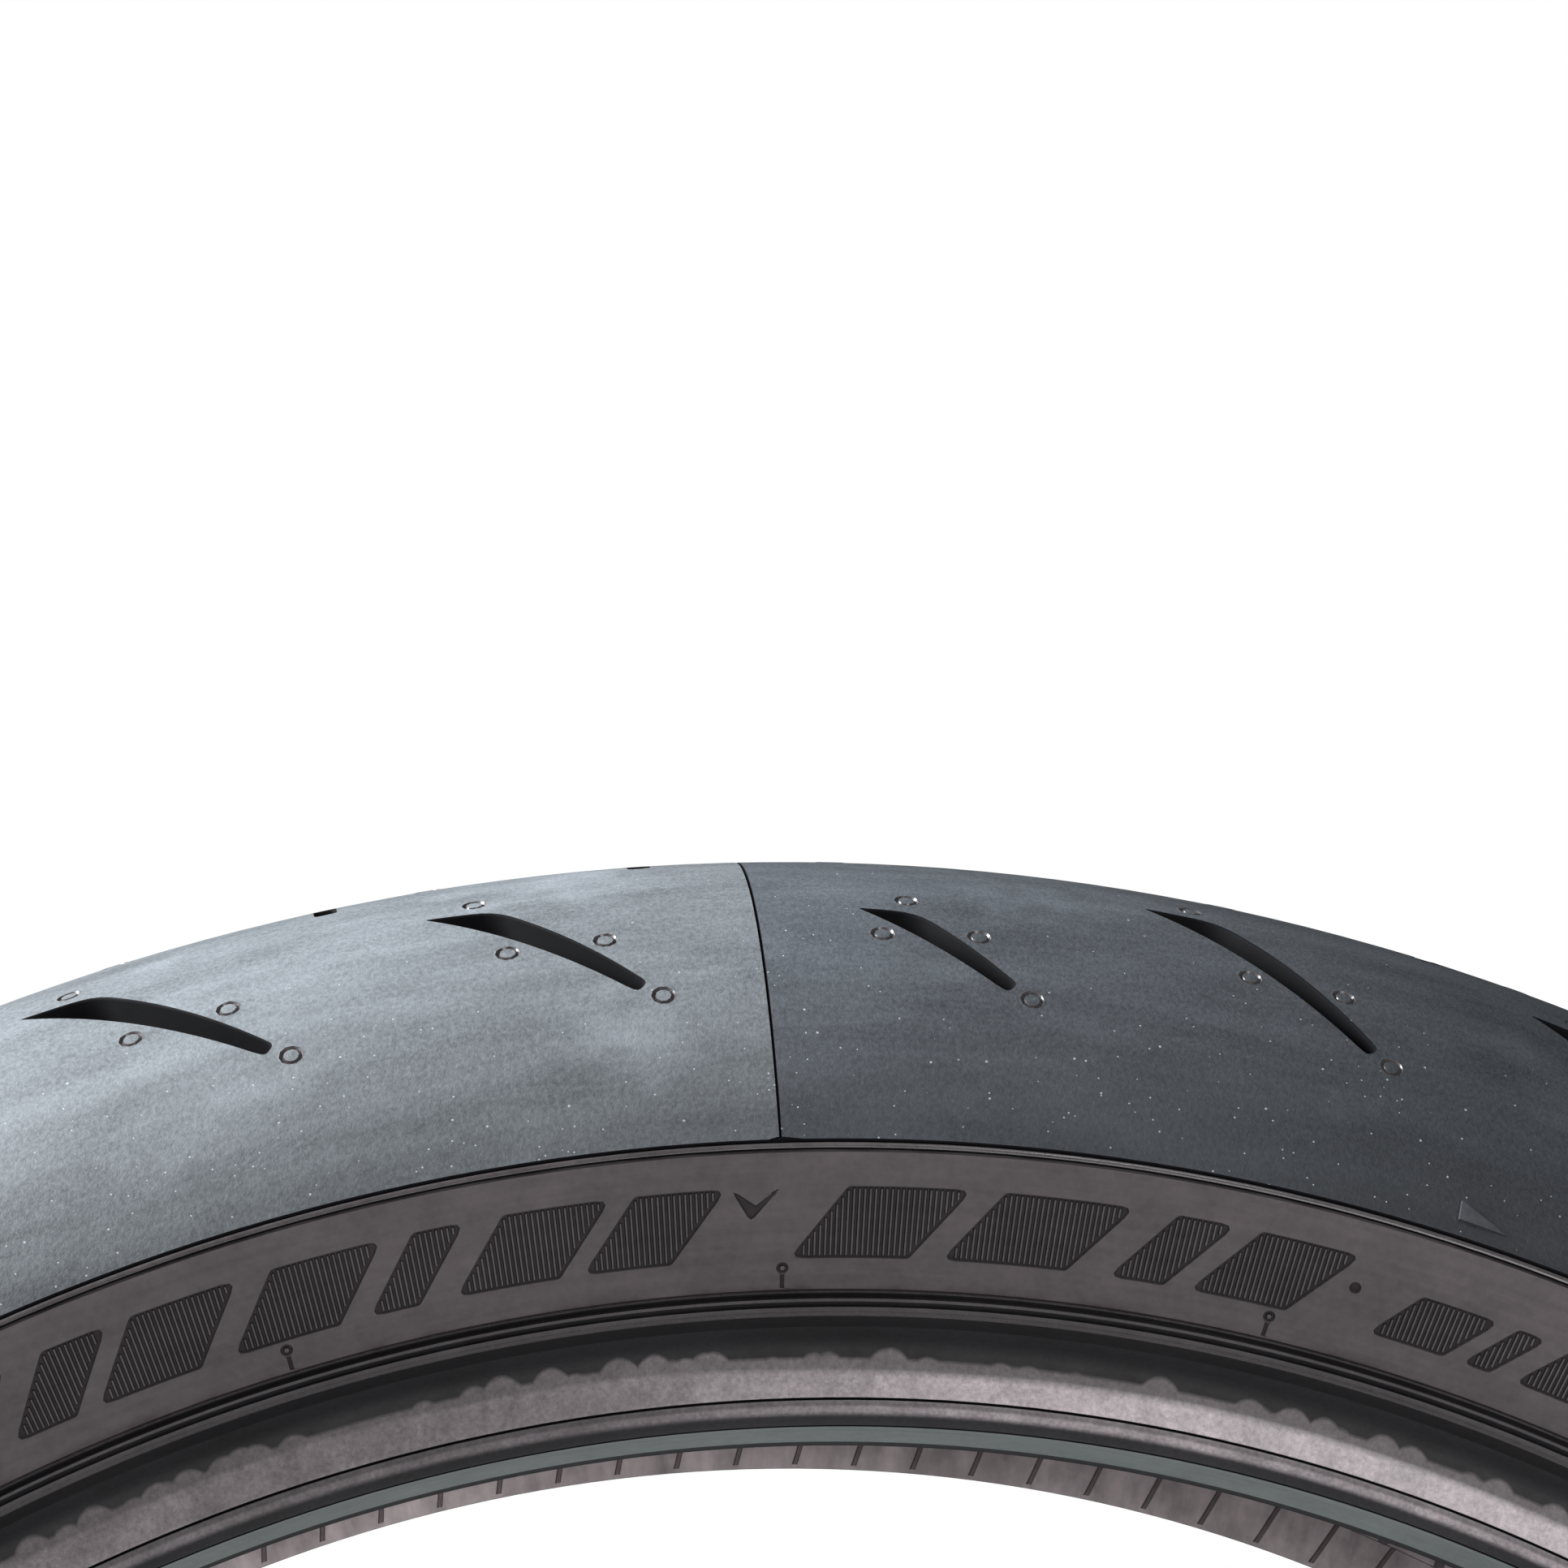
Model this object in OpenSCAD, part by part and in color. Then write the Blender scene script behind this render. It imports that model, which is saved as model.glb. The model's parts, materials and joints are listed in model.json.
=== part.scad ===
// Radial motorcycle front tyre, 120/70-17, unmounted.
// Built up as it is on the drum: liner, carcass ply, beads, belt, then tread and sidewall rubber.
// The wheel axis is Y, the origin is the wheel centre, and Z is up.

/* [Tyre size] */
// Nominal section width
section_width = 120; // [110:1:121]
// Section height as a percentage of the width
aspect_ratio = 70; // [68:1:72]
// Rim diameter code, in inches
rim_code = 17; // [16:1:18]
// Width of the measuring rim between its flanges
rim_width = 88.9; // [86:0.1:90]

/* [Tread] */
// Radius of the tread arc across the section
tread_arc_r = 61.4; // [61:0.1:64]
// Thickness of the tread cap
cap_t = 5; // [4.8:0.1:5.4]
// Thickness of the tread base under the cap
base_t = 1.4; // [1:0.1:1.8]
// Depth of the tread grooves at the middle of their length
groove_depth = 4.3; // [3:0.1:4.6]
// Depth of the short slots near the crown
slot_depth = 3; // [2:0.1:4]
// Tread pitches around the tyre, in cycles of three groove lengths
pitch_count = 36; // [30:3:36]
// Width of the wing strip at each tread edge, in degrees of the tread arc
wing_angle = 1; // [0.8:0.1:1.5]

/* [Belt] */
// Thickness of the coated belt
belt_t = 1.8; // [1.6:0.1:2.2]
// Diameter of the belt cord
cord_d = 1; // [0.8:0.1:1.2]
// Spacing of the belt windings along the arc
cord_pitch = 3; // [2.8:0.1:4]
// Half angle of the belt across the section
belt_angle = 68; // [60:1:70]

/* [Carcass] */
// Thickness of the carcass ply
ply_t = 1.1; // [0.9:0.1:1.3]
// Thickness of the inner liner
liner_t = 1.4; // [1:0.1:1.5]
// Thickness of the fabric chafer
chafer_t = 0.6; // [0.4:0.1:0.8]

/* [Bead] */
// Diameter of one bead wire
wire_d = 1.1; // [0.9:0.1:1.2]
// Spacing of the bead wires
wire_pitch = 1.4; // [1.3:0.05:1.4]
// Bead wires side by side
wire_columns = 5; // [4:1:5]
// Bead wires on top of each other
wire_rows = 4; // [3:1:4]
// Thickness of the bead wrap
wrap_t = 0.5; // [0.4:0.1:0.6]
// Radius of the bead heel
heel_r = 4; // [3:0.1:4.2]

/* [Hidden] */
$fn = 96;

inch = 25.4;
// A 17-inch cylindrical bead seat rim measures 4.8 mm more than its code across the seats.
seat_r = rim_code * inch / 2 + 2.4;
crown_r = rim_code * inch / 2 + section_width * aspect_ratio / 100;
half_w = section_width / 2;
face_y = rim_width / 2;
arc_c = crown_r - tread_arc_r;
edge_angle = asin(half_w / tread_arc_r);

// Radii of the layers across the section, from the tread surface inwards.
r_cap = tread_arc_r - cap_t;
r_base = r_cap - base_t;
r_cord = r_base - belt_t / 2;
r_belt = r_base - belt_t;
r_ply = r_belt - ply_t;
r_liner = r_ply - liner_t;

// Bead core, as [radius, axial] with the axial direction away from the tyre's middle plane.
core = [seat_r + 6.9, face_y - 6.45];
core_half = [wire_rows * wire_pitch / 2 + 0.1, wire_columns * wire_pitch / 2 + 0.1];
// Stretches of one piece that meet end to end overlap by this much, in degrees or millimetres.
lap = 0.05;
// Two coats of rubber meet this far outside the middles of the wires or cords between them.
seam_shift = 0.12;
// Height at which the ply, chafer and filler leave the wrapped core.
join_r = core[0] + 1.3;
chafer_low_r = core[0] - 1.2;
side_steps = 12;
tip_step = 5;
turn_up_step = 3;
chafer_steps = 4;

// ---- Curves of the section: points are [radius, axial] ----

function bezier(p, t) =
    pow(1 - t, 3) * p[0] + 3 * pow(1 - t, 2) * t * p[1]
    + 3 * (1 - t) * t * t * p[2] + pow(t, 3) * p[3];
function bezier_slope(p, t) =
    3 * pow(1 - t, 2) * (p[1] - p[0]) + 6 * (1 - t) * t * (p[2] - p[1]) + 3 * t * t * (p[3] - p[2]);
function unit(v) = v / norm(v);
// The side of a curve that faces away from the air cavity, for a curve that runs from the crown to the bead.
function outward(d) = [d[1], -d[0]];
// Points from step first to step last of a curve, moved outwards by a distance.
function run(p, first, last, away) =
    [for (i = [first : last])
        let (t = i / side_steps)
        bezier(p, t) + away * outward(unit(bezier_slope(p, t)))];
function reversed(list) = [for (i = [len(list) - 1 : -1 : 0]) list[i]];
// A line from p to q with n + 1 points that bows out by h at its middle.
function bowed(p, q, h, n) =
    [for (i = [0 : n])
        let (t = i / n)
        p + t * (q - p) + 4 * h * t * (1 - t) * outward(unit(q - p))];
function arc_point(r, a) = [arc_c + r * cos(a), r * sin(a)];
function arc_run(centre, r, first, last, n) =
    [for (i = [0 : n])
        let (a = first + (last - first) * i / n)
        centre + r * [cos(a), sin(a)]];

// The outside of the ply, from the tread edge down to the inner side of the bead core.
ply_top = arc_point(r_belt, edge_angle);
ply_foot = [join_r, core[1] - core_half[1] - wrap_t];
ply_curve = [ply_top,
             ply_top + 11 * [-sin(edge_angle), cos(edge_angle)],
             ply_foot + [9, 0],
             ply_foot];
// The inside of the ply's turn-up, from the tip of the filler down to the outer side of the bead core.
tip = bezier(ply_curve, tip_step / side_steps);
tip_direction = unit(bezier_slope(ply_curve, tip_step / side_steps));
turn_foot = [join_r, core[1] + core_half[1] + wrap_t];
turn_curve = [tip, tip + 4 * tip_direction, turn_foot + [7.5, 0], turn_foot];

// The outside of the tyre below the tread.
edge_out = arc_point(tread_arc_r, edge_angle);
rib_top = [seat_r + 16.5, face_y + 6.3];
rib = [rib_top, rib_top + [-0.3, 0.55], rib_top + [-1.0, 0.5], rib_top + [-1.4, -0.25]];
recess = [seat_r + 13.2, face_y + 4.05];
face_top = [seat_r + 10.2, face_y];
seat_end = [seat_r, face_y - 8.45];
toe = [seat_r - 1.6, face_y - 12.8];
liner_foot_y = ply_foot[1] - ply_t - liner_t;

// ---- Section shapes of the right-hand half ----

// Sector of the crown between two angles.
module sector(first, last) {
    reach = 2 * tread_arc_r;
    polygon(concat([[arc_c, 0]], arc_run([arc_c, 0], reach, first, last, 6)));
}

module crown_band(outer, inner, first, last) {
    intersection() {
        translate([arc_c, 0]) difference() {
            circle(outer);
            circle(inner);
        }
        sector(first, last);
    }
}

// The bead core's outline with a coat of a given thickness around it, as a box with rounded corners.
module coated_core(coat)
    polygon([for (k = [0 : 3], i = [0 : 3])
        let (a = 90 * k + 30 * i, turn = 90 * k + 45)
        core + [sign(cos(turn)) * core_half[0], sign(sin(turn)) * core_half[1]] + coat * [cos(a), sin(a)]]);

// Everything in the section nearer to the axis than a radius.
module below(r) square([r, section_width]);

// The stretch of a curve's side between two distances from it.
module strip(curve, first, last, inner, outer)
    polygon(concat(run(curve, first, last, outer), reversed(run(curve, first, last, inner))));

module ply_section() {
    // Down the inside of the bead.
    strip(ply_curve, 0, side_steps, -ply_t, 0);
    // Under the bead core.
    intersection() {
        difference() {
            coated_core(wrap_t + ply_t);
            coated_core(wrap_t);
        }
        below(join_r + lap);
    }
    // Up the outside of the filler, then along the ply itself.
    strip(turn_curve, 0, side_steps, 0, ply_t);
    strip(ply_curve, turn_up_step, tip_step, 0, ply_t);
}

module liner_section() {
    strip(ply_curve, 0, side_steps, -ply_t - liner_t, -ply_t);
    translate([chafer_low_r, liner_foot_y]) square([join_r + lap - chafer_low_r, liner_t]);
}

module filler_section() {
    difference() {
        polygon(concat(run(ply_curve, tip_step, side_steps, 0), reversed(run(turn_curve, 1, side_steps, 0))));
        coated_core(wrap_t);
    }
}

module chafer_section() {
    first = side_steps - chafer_steps;
    difference() {
        intersection() {
            coated_core(wrap_t + ply_t + chafer_t);
            below(join_r + lap);
        }
        coated_core(wrap_t + ply_t);
        translate([chafer_low_r, 0]) square([20, core[1]]);
    }
    strip(turn_curve, first, side_steps, ply_t, ply_t + chafer_t);
}

module rim_cushion_section() {
    first = side_steps - chafer_steps;
    heel_centre = [seat_r + heel_r, face_y - heel_r];
    difference() {
        polygon(concat(
            [[chafer_low_r, liner_foot_y], [seat_r + 0.6, liner_foot_y - 0.3], toe + [0.5, -0.25], toe, seat_end],
            arc_run(heel_centre, heel_r, 180, 90, 8),
            reversed(bowed(recess, face_top, -0.8, 6)),
            reversed(rib),
            run(turn_curve, 0, first, ply_t),
            run(turn_curve, first, side_steps, ply_t + chafer_t),
            [core, [chafer_low_r, core[1]]]));
        coated_core(wrap_t + ply_t + chafer_t);
    }
}

module sidewall_section() {
    polygon(concat(
        bowed(edge_out, rib_top, 0.7, 8),
        run(turn_curve, 0, 0, ply_t),
        reversed(run(ply_curve, turn_up_step, tip_step - 1, ply_t)),
        reversed(run(ply_curve, 0, turn_up_step, 0))));
}

// ---- Solids of revolution about the wheel axis ----

module revolve() rotate([-90, 0, 0]) rotate_extrude() children();
module right_side() revolve() children();
module left_side() mirror([0, 1, 0]) revolve() children();
// A section that runs from bead to bead across the crown.
module across() {
    children();
    mirror([0, 1]) children();
}

// ---- Tread pattern: points are [degrees around the wheel, millimetres along the tread arc] ----

groove_end = 58.2;
// Where the grooves of the three pitches in a cycle begin.
groove_starts = [41, 31.3, 34.6];
pitch_angle = 360 / pitch_count;
left_phase = 4.2;
// The right-hand half has the same grooves one pitch further round, so each faces one of another length.
right_phase = left_phase + pitch_angle;

function trailing_edge(s) = -0.215 * (groove_end - s);
function leading_edge(s) = 0.28 - 0.172 * (groove_end - 1.5 - s);
// A slanted groove: a sharp tip towards the crown and a blunt end near the shoulder.
function groove_outline(start) = [
    [trailing_edge(start), start],
    [leading_edge(start + 0.9) - 0.5, start + 0.5],
    [leading_edge(start + 2), start + 2],
    [leading_edge(groove_end - 1.9), groove_end - 1.9],
    [0.3, groove_end - 1.2],
    [0.12, groove_end],
    [-0.1, groove_end - 0.1]];
// Short slots near the crown: where each of the three begins and ends, and how far it is round, in pitches.
slot_starts = [3, 13.6, 13.6];
slot_ends = [11, 21.5, 19];
slot_leads = [0.15, 0.225, 0.065];
function slot_outline(start, end) = [
    [-0.28, start + 0.6],
    [-0.15, start],
    [0.15, start],
    [0.28, start + 0.6],
    [0.28, end - 0.6],
    [0.15, end],
    [-0.15, end],
    [-0.28, end - 0.6]];

// Where a pattern point falls on the plane that touches the tread at arc angle a.
function on_plane(point, a) =
    let (b = point[1] / tread_arc_r * 180 / PI, r = arc_c + tread_arc_r * cos(b))
    [r * sin(point[0]), cos(a) * tread_arc_r * sin(b) - sin(a) * (r * cos(point[0]) - arc_c)];

// A cutter for the right-hand half, square to the tread at the middle of the outline.
module pattern_cutter(outline, middle, depth) {
    a = middle / tread_arc_r * 180 / PI;
    translate([arc_c, 0, 0]) rotate([0, -a, 0]) translate([tread_arc_r - depth, 0, 0])
        rotate([90, 0, 90]) linear_extrude(depth + 3)
            polygon([for (p = outline) on_plane(p, a)]);
}

module pattern_half(phase) {
    for (i = [0 : pitch_count - 1]) {
        start = groove_starts[i % 3];
        slot_from = slot_starts[i % 3];
        slot_to = slot_ends[i % 3];
        rotate([0, 0, phase + i * pitch_angle - 90])
            pattern_cutter(groove_outline(start), (start + groove_end) / 2, groove_depth);
        rotate([0, 0, phase + (i + slot_leads[i % 3]) * pitch_angle - 90])
            pattern_cutter(slot_outline(slot_from, slot_to), (slot_from + slot_to) / 2, slot_depth);
    }
}

// ---- Parts ----

module tread_cap() color("#6f757a") difference() {
    revolve() crown_band(tread_arc_r, r_cap, wing_angle - edge_angle, edge_angle - wing_angle);
    rotate([-90, 0, 0]) pattern_half(right_phase);
    mirror([0, 1, 0]) rotate([-90, 0, 0]) pattern_half(left_phase);
}

module tread_base() color("#3b3c3e")
    revolve() crown_band(r_cap, r_base, -edge_angle, edge_angle);

module tread_wing() crown_band(tread_arc_r, r_cap, edge_angle - wing_angle, edge_angle);
module tread_wing_left() color("#4a4748") left_side() tread_wing();
module tread_wing_right() color("#4a4748") right_side() tread_wing();

// Sections of the belt windings, evenly spaced along the arc.
module winding_sections() {
    step = cord_pitch / r_cord * 180 / PI;
    count = floor((belt_angle - step / 2) / step);
    for (i = [-count : count]) translate(arc_point(r_cord, i * step)) circle(d = cord_d, $fn = 12);
}

// One of the two coats of rubber on the belt, with the windings taken out of it.
module belt_coat(outer, inner) difference() {
    crown_band(outer, inner, -belt_angle, belt_angle);
    winding_sections();
}

module belt_topping() color("#2f3032") revolve() {
    belt_coat(r_base, r_cord + seam_shift);
    belt_coat(r_cord + seam_shift, r_belt);
}

module belt_cord() color("#b08d4f") revolve() winding_sections();

module belt_edge_cushion() crown_band(r_base, r_belt, belt_angle, edge_angle);
module belt_edge_cushion_left() color("#333336") left_side() belt_edge_cushion();
module belt_edge_cushion_right() color("#333336") right_side() belt_edge_cushion();

module carcass_ply() color("#4b443b") revolve() {
    crown_band(r_belt, r_ply, -edge_angle - lap, edge_angle + lap);
    across() ply_section();
}

module inner_liner() color("#5d5152") revolve() {
    crown_band(r_ply, r_liner, -edge_angle - lap, edge_angle + lap);
    across() liner_section();
}

module sidewall_left() color("#544d4f") left_side() sidewall_section();
module sidewall_right() color("#544d4f") right_side() sidewall_section();

module rim_cushion_left() color("#4d4a4a") left_side() rim_cushion_section();
module rim_cushion_right() color("#4d4a4a") right_side() rim_cushion_section();

module chafer_left() color("#5b6560") left_side() chafer_section();
module chafer_right() color("#5b6560") right_side() chafer_section();

module bead_filler_left() color("#2c2c2c") left_side() filler_section();
module bead_filler_right() color("#2c2c2c") right_side() filler_section();

module bead_wrap() difference() {
    coated_core(wrap_t);
    coated_core(0);
}
module bead_wrap_left() color("#8a7f6a") left_side() bead_wrap();
module bead_wrap_right() color("#8a7f6a") right_side() bead_wrap();

function wire_place(row, column) =
    core + wire_pitch * [row - (wire_rows - 1) / 2, column - (wire_columns - 1) / 2];

module bead_wire(first_row, last_row)
    for (row = [first_row : last_row], column = [0 : wire_columns - 1])
        translate(wire_place(row, column)) circle(d = wire_d, $fn = 12);
module bead_wire_left() color("#a9793f") left_side() bead_wire(0, wire_rows - 1);
module bead_wire_right() color("#a9793f") right_side() bead_wire(0, wire_rows - 1);

// The rubber of one turn of the bead tape, between the middles of two rows of wire.
module bead_tape_turn(turn) {
    low = turn == 0 ? core[0] - core_half[0] : wire_place(turn - 1, 0)[0] + seam_shift;
    high = turn == wire_rows ? core[0] + core_half[0] : wire_place(turn, 0)[0] + seam_shift;
    difference() {
        translate([low, core[1] - core_half[1]]) square([high - low, 2 * core_half[1]]);
        bead_wire(max(turn - 1, 0), min(turn, wire_rows - 1));
    }
}
module bead_tape() for (turn = [0 : wire_rows]) bead_tape_turn(turn);
module bead_tape_left() color("#262626") left_side() bead_tape();
module bead_tape_right() color("#262626") right_side() bead_tape();

tread_cap();
tread_base();
tread_wing_left();
tread_wing_right();
belt_topping();
belt_cord();
belt_edge_cushion_left();
belt_edge_cushion_right();
carcass_ply();
inner_liner();
sidewall_left();
sidewall_right();
rim_cushion_left();
rim_cushion_right();
chafer_left();
chafer_right();
bead_filler_left();
bead_filler_right();
bead_wrap_left();
bead_wrap_right();
bead_tape_left();
bead_tape_right();
bead_wire_left();
bead_wire_right();
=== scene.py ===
"""Looks of a radial motorcycle front tyre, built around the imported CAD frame.

Outlines are in millimetres and become metres in spun(). Angles round the wheel are degrees from the
top towards +X. The relief of the tread and sidewalls is laid out flat in millimetres, as (u, s): u runs
round the wheel from the left edge of a patch, and s runs down the section, on the tread from the crown
and on a sidewall from its top edge. Heights stand out of the surface.
"""
import json
import math

import bmesh
import bpy
import numpy as np
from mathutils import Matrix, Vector
from mathutils.geometry import delaunay_2d_cdt


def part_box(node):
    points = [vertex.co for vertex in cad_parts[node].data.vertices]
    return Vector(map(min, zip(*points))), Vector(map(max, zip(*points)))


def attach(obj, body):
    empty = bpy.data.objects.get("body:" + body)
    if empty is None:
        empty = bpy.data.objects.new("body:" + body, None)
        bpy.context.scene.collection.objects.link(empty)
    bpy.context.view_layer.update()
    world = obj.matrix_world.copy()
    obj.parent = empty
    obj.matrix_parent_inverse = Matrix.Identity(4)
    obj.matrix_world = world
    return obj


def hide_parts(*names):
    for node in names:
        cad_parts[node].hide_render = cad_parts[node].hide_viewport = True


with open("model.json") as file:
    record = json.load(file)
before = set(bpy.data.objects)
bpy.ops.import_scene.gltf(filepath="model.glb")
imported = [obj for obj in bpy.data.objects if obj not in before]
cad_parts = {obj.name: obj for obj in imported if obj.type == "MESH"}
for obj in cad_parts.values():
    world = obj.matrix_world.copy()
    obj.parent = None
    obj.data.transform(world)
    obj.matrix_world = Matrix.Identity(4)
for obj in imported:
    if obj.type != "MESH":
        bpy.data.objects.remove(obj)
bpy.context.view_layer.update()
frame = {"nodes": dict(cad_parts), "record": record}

MM = 0.001

# ---- Sizes, in millimetres and degrees, from the frame where it holds them ----

MOUNTS = {m["name"]: m for m in frame["record"]["mounts"]}
CROWN_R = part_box("tread_cap")[1][2] / MM
HALF_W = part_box("sidewall_right")[1][1] / MM
SEAT_R = MOUNTS["bead_seat_right"]["dims"]["r_mm"]
FACE_Y = MOUNTS["flange_face_right"]["pos_m"][1] / MM
CAP_T = CROWN_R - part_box("tread_base")[1][2] / MM

# The tread's section is one arc of radius TREAD_ARC about a centre at radius ARC_C.
TREAD_ARC = 61.4
ARC_C = CROWN_R - TREAD_ARC
EDGE_ANGLE = math.asin(HALF_W / TREAD_ARC)
WING_ANGLE = math.radians(1)
TREAD_EDGE_S = (EDGE_ANGLE - WING_ANGLE) * TREAD_ARC
# Degrees between two columns of points, and the flat scale of the tread.
COLUMN = 1.0
COLUMNS = int(360 / COLUMN)
TREAD_MM_PER_DEG = 4.85
# Material slots that the tread and sidewall meshes share; 0 is the plain rubber, 1 is painted shade
# in grooves, slots, seams, fine lines and sunken marks, and 2 is a glossy, darker rubber that paints
# shade into the sunken vent rings.
PAINTED_SHADE = 1
GLOSSY_SHADE = 2

# Tread pattern, as in the CAD: three kinds of groove and slot follow each other round the wheel. PHASE is
# the zero angle of the first pitch, and each pitch's flat patch begins at MODULE_LOW from its own zero.
PITCHES = 36
PITCH = 360 / PITCHES
PHASE = 4.2
MODULE_LOW = -7
GROOVE_STARTS = (41, 31.3, 34.6)
SLOT_STARTS = (3, 13.6, 13.6)
SLOT_ENDS = (11, 21.5, 19)
SLOT_AT = (1.5, 2.25, 0.65)
SLOT_HALF_W = 0.28
GROOVE_DEPTH = 4.2
SLOT_DEPTH = 3
# A groove's tip is shallow and its floor drops away from there.
TIP_DEPTH = 0.45
TIP_SLOPE = 0.4
# The mould's segment seams, and the fine lines on both sides of the tread wing.
SEAM_EVERY = 4
SEAM_AT = -6.65
SEAM_HALF_W = 0.19
SEAM_DEPTH = 0.4
EDGE_LINE = 0.45
# Vent rings on each pitch, as (degrees, s); two more follow the groove's tip and the slot.
VENT_RINGS = ((0.55, 59.4), (-3.35, 47.6), (-0.75, 47.2))
# Raised triangles that point at the wear bars, as (degrees, s, height).
POINTERS = 6
POINTER_AT = 17.1
POINTER_CORNERS = ((0, 77.3, 0.55), (1.45, 79.9, 0.2), (0, 79.9, 0.55))
POINTER_ROOT = -0.3

# Sidewall band, slightly bowed between its top edge and its foot. Every second sector is marked.
BAND_TOP = (ARC_C + TREAD_ARC * math.cos(EDGE_ANGLE), HALF_W)
BAND_FOOT = (SEAT_R + 16.75, FACE_Y + 6.4)
BAND_LENGTH = math.dist(BAND_TOP, BAND_FOOT)
BAND_BOW = 0.7
BAND_START = 0.4
BAND_MM_PER_DEG = 4.24
SECTOR = 60
VENT_STEP = 15
VENT_PHASE = -2.4
# Slanted blocks of fine ridges, as (degrees, width in degrees), and what they are filled with.
MARK_SLANT = 1.7
MARK_LOW, MARK_HIGH = 4.8, 14.4
SMALL_LOW = 7.6
MARK_CELLS = ((-29.3, 2.6), (-25.6, 1.9), (-23.0, 3.1), (-18.9, 3.2), (-14.8, 1.5), (-12.2, 3.1),
              (-8.4, 2.65), (-2.2, 3.6), (2.4, 3.8), (7.5, 1.7), (10.0, 3.0))
SMALL_CELLS = ((15.6, 2.4), (18.6, 0.9), (20.3, 2.3), (23.4, 0.9), (25.1, 2.2))
MARK_DEPTH = 0.32
RIDGE_STEP = 0.68
RIDGE_FOOT = 0.23
RIDGE_TOP = 0.1
RIDGE_SINK = 0.12
# A round dot and a V-shaped dent beside the blocks, as (degrees, s).
DOT_AT = (14.8, 9)
DENT = ((-3.85, 5.2), (-3.2, 7.3), (-2.45, 4.7), (-3.35, 9.0))

# Inside: the liner, and the raised lines that the curing bladder leaves on it and on the bead toes.
LINER_T = 1.4
RIB_LINES = 156
RIB_H = 0.45
RIB_LEAN = 0.08

# Vertices closer than WELD_M metres become one, and edges sharper than SHARP_DEG are shaded sharp.
WELD_M = 2e-6
SHARP_DEG = 35


# ---- Flat relief patches ----

def inside(points, loop):
    """Which points lie inside a closed loop."""
    x, y = points[:, 0], points[:, 1]
    hit = np.zeros(len(points), bool)
    for (x1, y1), (x2, y2) in zip(loop, np.roll(loop, -1, axis=0)):
        if y1 == y2:
            continue
        crosses = (y1 > y) != (y2 > y)
        hit ^= crosses & (x < (x2 - x1) * (y - y1) / (y2 - y1) + x1)
    return hit


def offset_corners(corners, grow):
    """The corners of a counter-clockwise outline moved outwards by a distance."""
    out = []
    count = len(corners)
    for i in range(count):
        before, here, after = (np.array(corners[(i + k) % count], float) for k in (-1, 0, 1))
        d1 = (here - before) / np.linalg.norm(here - before)
        d2 = (after - here) / np.linalg.norm(after - here)
        n1 = np.array((d1[1], -d1[0]))
        n2 = np.array((d2[1], -d2[0]))
        out.append(here + grow * (n1 + n2) / max(1 + n1.dot(n2), 0.12))
    return out


def rounded(corners, radii, grow, arc):
    """A rounded outline with a fixed number of points, so loops made with other growths match it."""
    moved = offset_corners(corners, grow)
    points = []
    count = len(moved)
    for i in range(count):
        before, here, after = moved[i - 1], moved[i], moved[(i + 1) % count]
        d1 = (before - here) / np.linalg.norm(before - here)
        d2 = (after - here) / np.linalg.norm(after - here)
        half = math.acos(max(-1, min(1, d1.dot(d2)))) / 2
        radius = max(radii[i] + grow, 0.05)
        reach = min(radius / math.tan(half), 0.45 * np.linalg.norm(before - here),
                    0.45 * np.linalg.norm(after - here))
        start, end = here + reach * d1, here + reach * d2
        for k in range(arc + 1):
            t = k / arc
            points.append((1 - t) ** 2 * start + 2 * t * (1 - t) * here + t * t * end)
    return np.array(points)


def edge_counts(loop, step):
    """How many pieces to cut each edge of a loop into, for points about a step apart."""
    return [max(1, int(np.linalg.norm(b - a) / step)) for a, b in zip(loop, np.roll(loop, -1, axis=0))]


def densified(loop, counts):
    """The loop with each edge cut into its own number of equal pieces."""
    out = []
    for a, b, n in zip(loop, np.roll(loop, -1, axis=0), counts):
        out += [a + (b - a) * k / n for k in range(n)]
    return np.array(out)


def circle(centre, radius, count=10):
    """A counter-clockwise loop of points on a circle."""
    turns = np.arange(count) * 2 * math.pi / count
    return np.array(centre) + radius * np.stack([np.cos(turns), np.sin(turns)], 1)


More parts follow.
